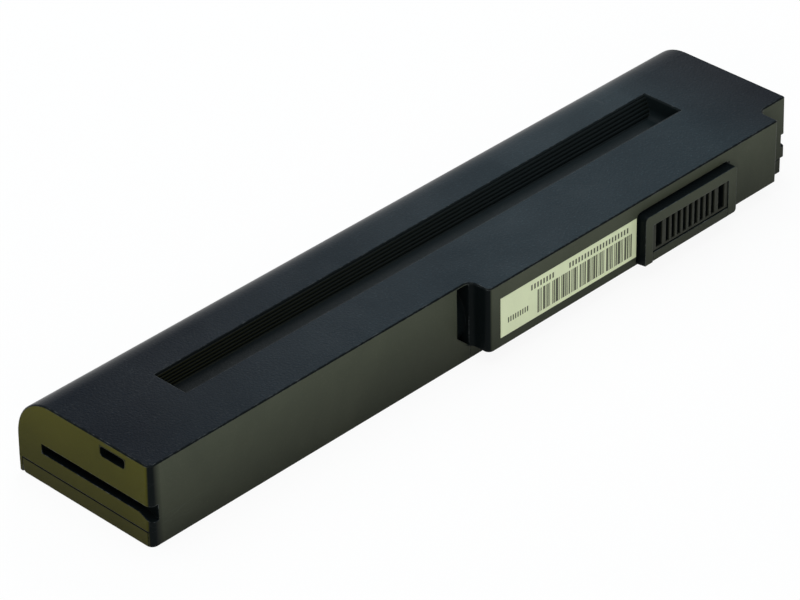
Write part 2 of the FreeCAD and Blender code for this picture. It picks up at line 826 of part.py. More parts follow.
def all_parts():
    """Every piece of the pack by name."""
    parts = {"top_shell": make_top_shell(), "bottom_cover": make_bottom_cover(),
             "barcode_label": make_label(), "connector_insert": make_connector_insert(),
             "circuit_board": make_circuit_board(), "sense_flex": make_sense_flex(),
             "board_insulator": make_board_insulator(), "board_foam": make_board_foam(),
             "thermistor": make_thermistor(), "capacitors": make_capacitors()}
    for number, x in enumerate(contact_places(), 1):
        parts[f"contact_{number}"] = make_contact(x)
    middle_z = shelf_top + board_height / 2
    right_run = board_right - insert_right
    charge_x = insert_right + right_run * charge_mosfet_share
    parts["gauge_chip"] = chip(on_board(gauge_chip_share), middle_z + 1.5, 9.7, 6.4, 1.2, 0.25)
    parts["protection_chip"] = chip(on_board(protection_chip_share), middle_z + 1.5, 6.2, 4.4, 1.1, 0.2)
    parts["charge_mosfet"] = chip(charge_x, middle_z - 1.0, 6.0, 5.0, 1.5, 0.2)
    parts["discharge_mosfet"] = chip(on_board(discharge_mosfet_share), middle_z - 1.0, 6.0, 5.0, 1.5, 0.2)
    parts["chip_fuse"] = chip(on_board(chip_fuse_share), middle_z, 4.0, 6.0, 1.3, 0.15)
    parts["sense_resistor"] = chip(on_board(sense_resistor_share), shelf_top + 2.4, 6.3, 3.0, 0.6, 0.1)
    columns = ("left", "middle", "right")
    for column, name in enumerate(columns):
        x = first_cell_x + cell_pitch * column
        for row, y in (("front", front_row_y), ("back", back_row_y)):
            parts[f"cell_{row}_{name}"] = make_cell(x, y)
            parts[f"ring_{row}_{name}"] = make_ring(x, y)
    parts["link_left_end"] = make_end_link(stack_left, 1)
    parts["link_right_end"] = make_end_link(stack_right - link_thickness, -1)
    for column, name in enumerate(("left_middle", "middle_right")):
        fold_x = first_cell_x + cell_pitch * column + cell_length
        parts[f"link_{name}"] = make_folded_link(fold_x)
        parts[f"link_paper_{name}"] = make_link_paper(fold_x)
    parts["end_pad_left"] = make_end_pad(stack_left - end_pad_thickness, stack_left)
    parts["end_pad_right"] = make_end_pad(stack_right, stack_right + end_pad_thickness)
    return parts


def main():
    os.makedirs("parts", exist_ok=True)
    to_row_origin = Vector(-length / 2, -(body_depth + collar_front) / 2, 0)
    for name, shape in all_parts().items():
        shape.translate(to_row_origin)
        shape.exportStep(f"parts/{name}.step")
        box = shape.BoundBox
        print(f"{name:22s} solids {len(shape.Solids)} valid {shape.isValid()} volume {shape.Volume:9.2f} "
              f"size {box.XLength:7.2f} {box.YLength:6.2f} {box.ZLength:6.2f}")


main()
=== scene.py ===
"""Laptop battery pack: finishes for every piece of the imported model, the print on its label,
the small metal trim of its board, and a plain studio stage."""

import math

import bmesh
import bpy
from mathutils import Matrix, Vector


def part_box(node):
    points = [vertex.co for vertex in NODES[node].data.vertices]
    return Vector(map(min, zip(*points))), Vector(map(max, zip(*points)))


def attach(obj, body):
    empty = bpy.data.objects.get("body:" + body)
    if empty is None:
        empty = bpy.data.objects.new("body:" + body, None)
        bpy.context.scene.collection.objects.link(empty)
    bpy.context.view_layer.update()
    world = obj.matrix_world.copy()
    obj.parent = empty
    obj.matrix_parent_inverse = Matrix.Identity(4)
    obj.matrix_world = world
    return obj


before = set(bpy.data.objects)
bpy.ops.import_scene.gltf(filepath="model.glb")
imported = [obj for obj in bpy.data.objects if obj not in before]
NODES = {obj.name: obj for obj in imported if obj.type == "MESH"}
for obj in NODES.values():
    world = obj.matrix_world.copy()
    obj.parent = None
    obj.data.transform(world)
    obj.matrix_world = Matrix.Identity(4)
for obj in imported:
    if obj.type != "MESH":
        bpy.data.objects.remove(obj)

bl_info = {
    "name": "Laptop Battery Pack",
    "version": (1, 0, 0),
    "blender": (4, 5, 0),
    "location": "View3D > Sidebar > Battery",
    "description": "Finishes, label print, board trim and stage for a moulded battery pack",
    "category": "Object",
}

MM = 0.001
WHITE = (1, 1, 1, 1)

# Camera: its place in metres, its turn in degrees, its lens in millimetres
CAMERA_PLACE = (-0.52804, -0.51491, 0.49290)
CAMERA_TURN = (56.508, 0.951, -45.734)
CAMERA_LENS = 175.87
CAMERA_CLIP = (0.05, 40)

# Shares of a face's normal, from where it starts to count as such a face to where it fully does
FLAT_TURN = (0.80, 0.99)
WALL_TURN = (0.84, 0.985)
END_TURN = (0.86, 0.985)
BACK_TURN = (0.10, 0.62)
BACK_WALL_TURN = (0.99, 0.88)
UP_TURN = (0.35, 0.95)
WORN_AND_HIGHLIT_TURN = (0.997, 0.93)

# Heights of noise, or distances in a pattern, from where a mark starts to where it is full
SPECK_RANGE = (0.56, 0.74)
WEAR_AND_HIGHLIGHT_RANGE = (0.47, 0.64)
SMUDGE_RANGE = (0.36, 0.66)
SCRATCHED_RANGE = (0.55, 0.66)
SCRATCH_WIDTH = (0.012, 0.002)
MOTE_RANGE = (0.60, 0.80)
DUST_FILM_RANGE = (0.40, 0.75)
FIBRE_RANGE = (0.35, 0.65)
ROLLED_RANGE = (0.3, 0.7)
TRACK_WIDTH = (0.34, 0.30)
PAD_WIDTH = (0.14, 0.10)
COPPER_WIDTH = (0.55, 0.62)

# Places on the case, in millimetres along it (x), across it (y) and up it (z)
END_WALLS = (100.6, 101.4)
FRONT_CORNER = (-101.5, -99.5)
WALL_HEIGHT = (1.0, 19.5)
# Where painted sheen on the top and painted light in the grip recess fall off, towards each end of
# the pack
LEFT_LIGHT_FALLOFF = (-88.0, 27.0)
LEFT_LIGHT_FALLOFF_SLANT = 1.2
RIGHT_LIGHT_FALLOFF = (99.0, 76.0)
RECESS_FRONT = (-6.0, -5.0)
SLOT_MOUTHS = (-24.75, -24.35)
HOLLOW_RIM = (0.02, -0.10)
# Boxes whose colour turns near-black: painted shade in the hollows, on the left side of the step
# and on the sides of the collar, and the dark seam line at the ends
HOLLOWS = (
    ("grip recess", (-79.2, -3.8, 14.0), (81.4, 10.0, 20.5)),
    ("latch pocket", (-10.6, -16.8, 3.6), (-7.0, -12.9, 20.2)),
    ("left guide slot", (-102.6, -16.8, 5.9), (-100.0, 17.6, 10.4)),
    ("right guide slot", (100.9, -16.8, 6.4), (102.6, 17.6, 10.4)),
    ("key slot", (-102.6, -9.7, 16.2), (-100.0, -1.4, 19.2)),
    ("connector window", (45.6, -25.0, 3.0), (73.0, -16.0, 14.4)),
    ("groove round the collar", (42.4, -22.72, 4.2), (76.0, -21.8, 17.9)),
    ("sides of the collar", (43.0, -25.0, 3.4), (75.5, -22.6, 17.3)),
    ("seam at the ends", (-103.2, -16.6, 3.5), (103.2, 23.9, 4.02)),
    ("left side of the step", (-7.3, -21.9, 3.0), (-5.8, -17.4, 20.35)),
)

# How a colour of the case runs, as shares of itself from one side to the other: painted shade
# down the walls and ends towards their foot, painted light along the grip recess's floor and ribs
FRONT_SHADE_SHARES = (0.62, 1.42)
END_SHADE_SHARES = (0.62, 1.10)
RECESS_LIGHT_SHARES = (0.7, 2.4)
RIB_LIGHT_SHARES = (0.62, 0.05)
# painted glints: how much lighter the grain's speckles are
GLINT_SPECK_TINT = (2.3, 2.1, 2.0, 1)
SMUDGE_TINT = (1.22, 1.20, 1.18, 1)

# Colours of small pieces inside the case
RING_PAPER = (0.72, 0.70, 0.60)
LINK_PAPER = (0.30, 0.36, 0.31)
FISH_PAPER = (0.34, 0.36, 0.30)
CHIP_RESIN = (0.018, 0.018, 0.019)
FUSE_CERAMIC = (0.68, 0.67, 0.60)
CAPACITOR_CERAMIC = (0.36, 0.23, 0.12)
BEAD_RESIN = (0.02, 0.025, 0.04)
RESISTOR_ALLOY = (0.42, 0.39, 0.34)
SOLDER_TIN = (0.62, 0.62, 0.60)
BARE_PAD = (0.55, 0.54, 0.50, 1)
AMBER_FILM = (0.42, 0.17, 0.025, 1)
AMBER_SHADE = (0.30, 0.11, 0.015, 1)
FLEX_COPPER = (0.62, 0.32, 0.12, 1)
FOAM = (0.018, 0.018, 0.019, 1)
FOAM_SPECK = (0.055, 0.055, 0.056, 1)


class CaseSettings(bpy.types.PropertyGroup):
    """Colours and surface of the moulded case. Its colours are lit and shaded copies of one black
    plastic: painted light by the way each face looks, painted shade in its corners and hollows.
    """

    # painted light: the lit blue-black tone of the flat top
    top: bpy.props.FloatVectorProperty(
        name="Top", description="Colour of the grained top", subtype="COLOR", size=3,
        default=(0.0062, 0.0139, 0.0192), min=0, max=1)
    # painted shade: the top darker towards its ends, where the painted sheen of its middle falls
    # off
    top_end_shade: bpy.props.FloatVectorProperty(
        name="Top at the ends", description="Colour of the top where hands hold the pack",
        subtype="COLOR", size=3, default=(0.0002, 0.0020, 0.0050), min=0, max=1)
    # painted light: the lit olive-grey tone of the front and back walls
    front: bpy.props.FloatVectorProperty(
        name="Front", description="Colour of the front and back walls", subtype="COLOR", size=3,
        default=(0.0405, 0.0455, 0.0330), min=0, max=1)
    # painted light: the lit olive tone of the end walls
    end: bpy.props.FloatVectorProperty(
        name="End", description="Colour of the smooth end walls", subtype="COLOR", size=3,
        default=(0.049, 0.047, 0.0060), min=0, max=1)
    # painted shade: the near-black of rounded corners and hollows
    shade: bpy.props.FloatVectorProperty(
        name="Hollows", description="Colour of rounded corners and of the hollows of the case",
        subtype="COLOR", size=3, default=(0.0030, 0.0045, 0.0050), min=0, max=1)
    insert: bpy.props.FloatVectorProperty(
        name="Insert", description="Colour of the slotted connector block", subtype="COLOR",
        size=3, default=(0.026, 0.028, 0.021), min=0, max=1)
    # Painted highlight and polish from handling: the lighter colour laid along edges and scratches
    worn_and_highlit: bpy.props.FloatVectorProperty(
        name="Worn edge", description="Colour where handling has polished the edges",
        subtype="COLOR", size=3, default=(0.10, 0.11, 0.115), min=0, max=1)
    dust: bpy.props.FloatVectorProperty(
        name="Dust", description="Colour of the dust that has settled", subtype="COLOR", size=3,
        default=(0.20, 0.22, 0.22), min=0, max=1)
    grain_size: bpy.props.FloatProperty(
        name="Grain size", description="Size of one pip of the moulded grain", unit="LENGTH",
        default=0.00045, min=0.0001, max=0.002, precision=5)
    edge_radius: bpy.props.FloatProperty(
        name="Edge radius", description="Radius that softens the moulded edges", unit="LENGTH",
        default=0.0003, min=0, max=0.001, precision=5)


class LabelSettings(bpy.types.PropertyGroup):
    """Colours and layout of the label on the front of the step."""

    paper: bpy.props.FloatVectorProperty(
        name="Paper", description="Colour of the label's paper", subtype="COLOR", size=3,
        default=(0.74, 0.80, 0.53), min=0, max=1)
    ink: bpy.props.FloatVectorProperty(
        name="Ink", description="Colour of the print", subtype="COLOR", size=3,
        default=(0.062, 0.067, 0.040), min=0, max=1)
    bar_count: bpy.props.IntProperty(
        name="Bars", description="Number of upright bars in the field", default=46, min=4,
        max=90)
    ink_thickness: bpy.props.FloatProperty(
        name="Ink thickness", description="How far the print stands on the paper",
        unit="LENGTH", default=0.00001, min=0.000002, max=0.0001, precision=6)


class InsideSettings(bpy.types.PropertyGroup):
    """Colours of what the case holds."""

    sleeve: bpy.props.FloatVectorProperty(
        name="Sleeve", description="Colour of the shrink sleeve round each cell",
        subtype="COLOR", size=3, default=(0.035, 0.15, 0.30), min=0, max=1)
    mask: bpy.props.FloatVectorProperty(
        name="Board", description="Colour of the board's lacquer", subtype="COLOR", size=3,
        default=(0.010, 0.095, 0.040), min=0, max=1)
    gold: bpy.props.FloatVectorProperty(
        name="Contacts", description="Colour of the plated contacts", subtype="COLOR", size=3,
        default=(0.80, 0.60, 0.28), min=0, max=1)
    nickel: bpy.props.FloatVectorProperty(
        name="Nickel", description="Colour of the rolled nickel links", subtype="COLOR",
        size=3, default=(0.60, 0.58, 0.54), min=0, max=1)


class StageSettings(bpy.types.PropertyGroup):
    """Floor, lamps and world."""

    floor: bpy.props.FloatVectorProperty(
        name="Floor", description="Colour of the floor", subtype="COLOR", size=3,
        default=(0.92, 0.92, 0.91), min=0, max=1)
    floor_radius: bpy.props.FloatProperty(
        name="Floor radius", description="Radius of the round floor", unit="LENGTH",
        default=7.0, min=1, max=30)
    glow: bpy.props.FloatProperty(
        name="Floor glow", description="Share of plain white in what the camera sees of the floor",
        subtype="FACTOR", default=0.92, min=0, max=1)
    overhead: bpy.props.FloatProperty(
        name="Overhead lamp", description="Power of the soft lamp above", unit="POWER",
        default=17, min=0, max=400)
    side: bpy.props.FloatProperty(
        name="Side lamp", description="Power of the soft lamp at the left front", unit="POWER",
        default=8.5, min=0, max=400)
    back: bpy.props.FloatProperty(
        name="Back lamp", description="Power of the small soft lamp behind the pack",
        unit="POWER", default=0.7, min=0, max=400)
    sky: bpy.props.FloatProperty(
        name="Sky", description="Strength of the plain sky", default=0.12, min=0, max=2)


SETTINGS = {"battery_case": CaseSettings, "battery_label": LabelSettings,
            "battery_inside": InsideSettings, "battery_stage": StageSettings}


def solid(colour):
    """A colour with full cover."""
    return (colour[0], colour[1], colour[2], 1.0)


def toned(colour, share):
    """A share of a colour, with full cover."""
    return solid([c * share for c in colour[:3]])


def join(tree, target, name, source):
    """Puts a link or a plain value on one input of a node."""
    if isinstance(source, bpy.types.NodeSocket):
        tree.links.new(source, target.inputs[name])
    else:
        target.inputs[name].default_value = source


def add(tree, kind, values=None, **settings):
    """Adds a node with its settings and the values or links of its inputs."""
    node = tree.nodes.new(kind)
    for key, value in settings.items():
        setattr(node, key, value)
    for name, source in (values or {}).items():
        join(tree, node, name, source)
    return node


def maths(tree, operation, a, b=0.0, clamp=False):
    """One sum of two numbers."""
    node = add(tree, "ShaderNodeMath", {0: a, 1: b}, operation=operation, use_clamp=clamp)
    return node.outputs[0]


def times(tree, a, b, clamp=False):
    """The product of two numbers."""
    return maths(tree, "MULTIPLY", a, b, clamp)


def vector_maths(tree, operation, a, b=(0, 0, 0), **settings):
    """One sum of two vectors."""
    return add(tree, "ShaderNodeVectorMath", {0: a, 1: b}, operation=operation, **settings)


def parts_of(tree, vector):
    """The three parts of a vector."""
    return add(tree, "ShaderNodeSeparateXYZ", {0: vector}).outputs


def spread(tree, value, low, high, to_low=0.0, to_high=1.0):
    """A value mapped from one range to another, held at its ends."""
    values = {0: value, 1: low, 2: high, 3: to_low, 4: to_high}
    return add(tree, "ShaderNodeMapRange", values).outputs[0]


def spread_place(tree, value, reach):
    """A share that grows from one place to another, given in millimetres."""
    return spread(tree, value, reach[0] * MM, reach[1] * MM)


def between(tree, share, low, high):
    """A value that runs from low to high as a share goes from none to all."""
    return spread(tree, share, 0, 1, low, high)


def blend_colour(tree, factor, a, b, blend="MIX"):
    """Two colours mixed by a factor."""
    values = {0: factor, 6: a, 7: b}
    return add(tree, "ShaderNodeMix", values, data_type="RGBA", blend_type=blend).outputs[2]


def stained(tree, mask, base, stain, share):
    """A colour with a share of another laid over it where a mask is high."""
    return blend_colour(tree, times(tree, mask, share), base, stain)


def shaded(tree, factor, colour, shares):
    """A colour that runs from one share of itself to another."""
    return blend_colour(tree, factor, toned(colour, shares[0]), toned(colour, shares[1]))


def scaled_place(tree, place, size, stretch=(1, 1, 1)):
    """A position counted in grains of one size, stretched along the axes."""
    share = maths(tree, "DIVIDE", 1.0, size)
    values = {0: place, "Scale": share}
    sized = add(tree, "ShaderNodeVectorMath", values, operation="SCALE").outputs[0]
    return vector_maths(tree, "MULTIPLY", sized, stretch).outputs[0]


def cloud_noise(tree, place, detail, scale=1.0, **more):
    """Cloudy noise over a position counted in grains."""
    values = {"Vector": place, "Scale": scale, "Detail": detail, **more}
    return add(tree, "ShaderNodeTexNoise", values).outputs[0]


def cell_noise(tree, place, scale=1.0, feature="F1", distance="EUCLIDEAN", **more):
    """Distance from the middles, or the borders, of scattered cells."""
    values = {"Vector": place, "Scale": scale, **more}
    node = add(tree, "ShaderNodeTexVoronoi", values, feature=feature, distance=distance)
    return node.outputs["Distance"]


def new_group(name, inputs, outputs):
    """An empty node group with its named sockets, and its two end nodes."""
    group = bpy.data.node_groups.new(name, "ShaderNodeTree")
    for socket_name, kind, default in inputs:
        socket = group.interface.new_socket(name=socket_name, in_out="INPUT", socket_type=kind)
        socket.default_value = default
    for socket_name, kind in outputs:
        group.interface.new_socket(name=socket_name, in_out="OUTPUT", socket_type=kind)
    return group, group.nodes.new("NodeGroupInput"), group.nodes.new("NodeGroupOutput")


VALUE, VECTOR = "NodeSocketFloat", "NodeSocketVector"
PLACE = ("Place", VECTOR, (0, 0, 0))


def moulded_grain_group():
    """Fine pips of a spark-eroded mould: their height, and where they catch the light."""
    pip_depth = 0.55
    group, start, end = new_group("Moulded Grain", [PLACE, ("Size", VALUE, 0.0004)],
                                  [("Height", VALUE), ("Speck", VALUE)])
    place = scaled_place(group, start.outputs["Place"], start.outputs["Size"])
    pips = cell_noise(group, place, scale=0.8, feature="SMOOTH_F1")
    cloud = cloud_noise(group, place, detail=3.0, scale=0.9, Roughness=0.62)
    sunk = times(group, pips, pip_depth)
    join(group, end, "Height", maths(group, "SUBTRACT", cloud, sunk))
    join(group, end, "Speck", spread(group, cloud, *SPECK_RANGE))
    return group


def edge_wear_and_highlight_group():
    """Polish along the edges, partly from handling and partly a painted highlight, broken up by
    noise, with the normal that rounds them.
    """
    patch_size = 1.6 * MM
    group, start, end = new_group("Edge Wear", [PLACE, ("Radius", VALUE, 0.0002)],
                                  [("Mask", VALUE), ("Normal", VECTOR)])
    rounded = add(group, "ShaderNodeBevel", {"Radius": start.outputs["Radius"]}, samples=6)
    plain = add(group, "ShaderNodeNewGeometry")
    turn = vector_maths(group, "DOT_PRODUCT", rounded.outputs[0], plain.outputs["Normal"])
    edge = spread(group, turn.outputs["Value"], *WORN_AND_HIGHLIT_TURN)
    place = scaled_place(group, start.outputs["Place"], patch_size)
    worn_and_highlit = spread(group, cloud_noise(group, place, detail=5.0, Roughness=0.7), *WEAR_AND_HIGHLIGHT_RANGE)
    join(group, end, "Mask", times(group, edge, worn_and_highlit, clamp=True))
    join(group, end, "Normal", rounded.outputs[0])
    return group


def handling_group():
    """Smudges of handling and hair-fine scratches along the pack."""
    scratch_size, scratch_stretch = 6 * MM, (0.16, 1.6, 1.6)
    group, start, end = new_group("Handling Marks", [PLACE, ("Size", VALUE, 0.02)],
                                  [("Smudge", VALUE), ("Scratch", VALUE)])
    wide = scaled_place(group, start.outputs["Place"], start.outputs["Size"])
    cloud = cloud_noise(group, wide, detail=5.0, Roughness=0.55, Distortion=0.4)
    join(group, end, "Smudge", spread(group, cloud, *SMUDGE_RANGE))
    fine = scaled_place(group, start.outputs["Place"], scratch_size, scratch_stretch)
    lines = cell_noise(group, fine, feature="DISTANCE_TO_EDGE", Randomness=1.0)
    thin = spread(group, lines, *SCRATCH_WIDTH)
    rare = spread(group, cloud, *SCRATCHED_RANGE)
    join(group, end, "Scratch", times(group, thin, rare, clamp=True))
    return group


def dust_group():
    """Fine dust that lies where a surface faces up."""
    mote_size, drift_size, film_share = 0.6 * MM, 30 * MM, 0.35
    group, start, end = new_group("Settled Dust", [PLACE, ("Amount", VALUE, 0.2)],
                                  [("Mask", VALUE)])
    plain = add(group, "ShaderNodeNewGeometry")
    facing = spread(group, parts_of(group, plain.outputs["Normal"])["Z"], *UP_TURN)
    mote_place = scaled_place(group, start.outputs["Place"], mote_size)
    drift_place = scaled_place(group, start.outputs["Place"], drift_size)
    motes = spread(group, cloud_noise(group, mote_place, detail=2.0), *MOTE_RANGE)
    drift = cloud_noise(group, drift_place, detail=3.0)
    film = spread(group, drift, *DUST_FILM_RANGE, to_high=film_share)
    laid = times(group, maths(group, "ADD", motes, film), facing)
    join(group, end, "Mask", times(group, laid, start.outputs["Amount"], clamp=True))
    return group


def facing_group():
    """Which way a moulded face looks (flat, to the front or back, out at an end, or over the
    rounded back edge), how high it lies, and how far it is from the ends, towards which painted
    sheen and painted light fall off."""
    names = ("Flat", "Front", "End", "Height", "Middle", "Round")
    group, start, end = new_group("Facing", [PLACE], [(name, VALUE) for name in names])
    plain = add(group, "ShaderNodeNewGeometry")
    normal = parts_of(group, plain.outputs["Normal"])
    place = parts_of(group, start.outputs["Place"])
    flat, front, along = (maths(group, "ABSOLUTE", normal[axis]) for axis in "ZYX")
    outside = spread_place(group, maths(group, "ABSOLUTE", place["X"]), END_WALLS)
    past_corner = spread_place(group, place["X"], FRONT_CORNER)
    join(group, end, "Flat", spread(group, flat, *FLAT_TURN))
    join(group, end, "Front", times(group, spread(group, front, *WALL_TURN), past_corner))
    join(group, end, "End", times(group, spread(group, along, *END_TURN), outside))
    join(group, end, "Height", spread_place(group, place["Z"], WALL_HEIGHT))
    slant = times(group, place["Y"], LEFT_LIGHT_FALLOFF_SLANT)
    from_left = spread_place(group, maths(group, "SUBTRACT", place["X"], slant), LEFT_LIGHT_FALLOFF)
    from_right = spread_place(group, place["X"], RIGHT_LIGHT_FALLOFF)
    join(group, end, "Middle", times(group, from_left, from_right))
    turned_back = spread(group, normal["Y"], *BACK_TURN)
    above_wall = spread(group, normal["Y"], *BACK_WALL_TURN)
    join(group, end, "Round", times(group, turned_back, above_wall))
    return group


def hollows_group():
    """One inside the hollows of the case, given as boxes: the mask where painted shade darkens the
    colour.
    """
    group, start, end = new_group("Hollows", [PLACE], [("Mask", VALUE)])
    found = None
    for name, low, high in HOLLOWS:
        middle = [(a + b) * MM / 2 for a, b in zip(low, high)]
        half = [(b - a) * MM / 2 for a, b in zip(low, high)]
        off = vector_maths(group, "SUBTRACT", start.outputs["Place"], middle, label=name)
        size = vector_maths(group, "ABSOLUTE", off.outputs[0])
        past = parts_of(group, vector_maths(group, "SUBTRACT", size.outputs[0], half).outputs[0])
        most = maths(group, "MAXIMUM", past["X"], past["Y"])
        inside = spread_place(group, maths(group, "MAXIMUM", most, past["Z"]), HOLLOW_RIM)
        found = inside if found is None else maths(group, "MAXIMUM", found, inside)
    join(group, end, "Mask", found)
    return group


def fibre_group():
    """Short fibres of paper or felted sheet."""
    group, start, end = new_group("Pressed Fibre", [PLACE, ("Size", VALUE, 0.0003)],
                                  [("Height", VALUE), ("Tone", VALUE)])
    size, stretch = start.outputs["Size"], (1.0, 0.5, 0.35)
    place = scaled_place(group, start.outputs["Place"], size, stretch)
    strands = cloud_noise(group, place, detail=4.0, Distortion=1.4)
    clouds = cloud_noise(group, place, detail=2.0, scale=0.06)
    join(group, end, "Height", strands)
    tone = maths(group, "ADD", times(group, strands, 0.5), times(group, clouds, 0.5))
    join(group, end, "Tone", spread(group, tone, *FIBRE_RANGE))
    return group


def rolled_group():
    """Fine lines that rolling leaves along a metal strip."""
    group, start, end = new_group("Rolled Lines", [PLACE, ("Size", VALUE, 0.0002)],
                                  [("Height", VALUE), ("Tone", VALUE)])
    size, stretch = start.outputs["Size"], (1.0, 0.04, 1.0)
    place = scaled_place(group, start.outputs["Place"], size, stretch)
    lines = cloud_noise(group, place, detail=3.0)
    join(group, end, "Height", lines)
    join(group, end, "Tone", spread(group, lines, *ROLLED_RANGE))
    return group


def track_group():
    """Copper tracks and pads that show through the lacquer of a board."""
    group, start, end = new_group("Board Tracks", [PLACE, ("Pitch", VALUE, 0.0012)],
                                  [("Track", VALUE), ("Pad", VALUE)])
    pitch, stretch = start.outputs["Pitch"], (0.35, 1.0, 1.0)
    place = scaled_place(group, start.outputs["Place"], pitch, stretch)
    runs = cell_noise(group, place, distance="CHEBYCHEV", Randomness=0.35)
    dots = cell_noise(group, place, scale=0.7, Randomness=0.8)
    join(group, end, "Track", spread(group, runs, *TRACK_WIDTH))
    join(group, end, "Pad", spread(group, dots, *PAD_WIDTH))
    return group


GROUP_MAKERS = {
    "grain": moulded_grain_group, "wear_and_highlight": edge_wear_and_highlight_group, "handling": handling_group,
    "dust": dust_group, "facing": facing_group, "hollows": hollows_group,
    "fibre": fibre_group, "rolled": rolled_group, "tracks": track_group,
}
GROUPS = {}


def use_group(tree, key, place, **values):
    """The outputs of one shared group, which is made the first time it is asked for."""
    if key not in GROUPS:
        GROUPS[key] = GROUP_MAKERS[key]()
    node = tree.nodes.new("ShaderNodeGroup")
    node.node_tree = GROUPS[key]
    for name, source in {"Place": place, **values}.items():
        join(tree, node, name, source)
    return node.outputs


def new_finish(name, **plain):
    """A material with its shader's plain values set, and the position its effects are read at."""
    material = bpy.data.materials.new(name)
    material.use_nodes = True
    tree = material.node_tree
    shader = tree.nodes["Principled BSDF"]
    for socket, value in plain.items():
        shader.inputs[socket.replace("_", " ")].default_value = value
    place = add(tree, "ShaderNodeTexCoord").outputs["Object"]
    return material, tree, shader, place


def paint(tree, shader, colour):
    """The colour of a surface, given as a link."""
    join(tree, shader, "Base Color", colour)


def rub(tree, shader, mask, low, high):
    """A roughness that runs from low to high with a mask."""
    join(tree, shader, "Roughness", between(tree, mask, low, high))


def bump(tree, shader, height, distance, strength=1.0, normal=None):
    """A bump on the shader from a height, over a distance in metres."""
    values = {"Height": height, "Strength": strength, "Distance": distance}
    if normal is not None:
        values["Normal"] = normal
    node = add(tree, "ShaderNodeBump", values)
    join(tree, shader, "Normal", node.outputs[0])


def moulded_body(tree, case, facing, shade):
    """Painted light and shade by the way each face looks: a lit blue-black on top, with a painted
    sheen that falls off to painted shade at its ends; lit olive tones on the walls and ends that
    get darker towards their foot; and painted shade on the corners between.
    """
    top, top_end_shade, front, end, dark = (
        toned(colour, shade)
        for colour in (case.top, case.top_end_shade, case.front, case.end, case.shade))
    # painted shade: walls and ends darker towards their foot
    front_tone = shaded(tree, facing["Height"], front, FRONT_SHADE_SHARES)
    end_tone = shaded(tree, facing["Height"], end, END_SHADE_SHARES)
    # painted sheen in the middle of the top, falling off to painted shade at its ends
    top_tone = blend_colour(tree, facing["Middle"], top_end_shade, top)
    # painted shade: faces that look neither up, to the front or back, nor out at an end, such as
    # rounded corners, take the dark colour
    walls = blend_colour(tree, facing["Front"], dark, front_tone)
    ends = blend_colour(tree, facing["End"], walls, end_tone)
    return blend_colour(tree, facing["Flat"], ends, top_tone)


def moulded_hollows(tree, case, facing, place, shade):
    """Painted shade down the hollows: dark, with painted light on the floor of the grip recess,
    lighter away from the ends, and an olive painted light tone on its ribs that fades from the
    left.
    """
    end, dark = toned(case.end, shade), toned(case.shade, shade)
    in_recess = spread_place(tree, parts_of(tree, place)["Y"], RECESS_FRONT)
    # painted light: the recess floor lighter away from the ends of the pack
    recess_floor = shaded(tree, facing["Middle"], dark, RECESS_LIGHT_SHARES)
    # painted light: an olive tone on the ribs near the left, fading to dark
    ribs = shaded(tree, facing["Middle"], end, RIB_LIGHT_SHARES)
    recess_tone = blend_colour(tree, facing["Front"], recess_floor, ribs)
    return blend_colour(tree, in_recess, dark, recess_tone)


def moulded_finish(name, case, grain_strength, dust_amount, shade=1.0):
    """Grained case plastic with painted light and shade by facing, painted shade in its hollows,
    glint speckles painted where the grain catches the light, smudges, fine scratches, dust, and
    edges polished by handling that also carry a painted highlight.
    """
    smudge_size, grain_depth = 22 * MM, 0.06 * MM
    wall_grain, wall_speck, edge_coat = 0.25, 0.12, 0.22
    wall_rough, flat_rough, smudge_gloss, dust_rough = 0.38, 0.44, 0.07, 0.2
    material, tree, shader, place = new_finish(name, Specular_IOR_Level=0.03, Coat_Roughness=0.3)
    facing = use_group(tree, "facing", place)
    hollow = use_group(tree, "hollows", place)["Mask"]
    grain = use_group(tree, "grain", place, Size=case.grain_size)
    wear_and_highlight = use_group(tree, "wear_and_highlight", place, Radius=case.edge_radius)
    marks = use_group(tree, "handling", place, Size=smudge_size)
    dust = use_group(tree, "dust", place, Amount=dust_amount)["Mask"]
    flat, smudge = facing["Flat"], marks["Smudge"]

    # painted light and shade: the one plastic toned by the way each face looks
    body = moulded_body(tree, case, facing, shade)
    # painted glints on the grain, where its pips catch the light
    glint_specks = times(tree, grain["Speck"], between(tree, flat, wall_speck, 1.0))
    pale = blend_colour(tree, glint_specks, body, GLINT_SPECK_TINT, "MULTIPLY")
    handled = blend_colour(tree, smudge, pale, SMUDGE_TINT, "MULTIPLY")
    scratched = stained(tree, marks["Scratch"], handled, solid(case.worn_and_highlit), share=0.10)
    dusty = blend_colour(tree, dust, scratched, solid(case.dust))
    # polish from handling together with a painted highlight along edges and chamfers
    worn_and_highlit = stained(tree, wear_and_highlight["Mask"], dusty, solid(case.worn_and_highlit), share=0.8)
    # painted shade in the hollows
    deep = moulded_hollows(tree, case, facing, place, shade)
    paint(tree, shader, blend_colour(tree, hollow, worn_and_highlit, deep))

    polished = maths(tree, "SUBTRACT", facing["Round"], hollow, clamp=True)
    join(tree, shader, "Coat Weight", times(tree, polished, edge_coat))
    clean = between(tree, flat, wall_rough, flat_rough)
    rubbed = maths(tree, "SUBTRACT", clean, times(tree, smudge, smudge_gloss))
    rough = maths(tree, "ADD", rubbed, times(tree, dust, dust_rough), clamp=True)
    join(tree, shader, "Roughness", rough)
    depth = between(tree, flat, wall_grain * grain_strength, grain_strength)
    height = times(tree, grain["Height"], depth)
    bump(tree, shader, height, distance=grain_depth, normal=wear_and_highlight["Normal"])
    return material


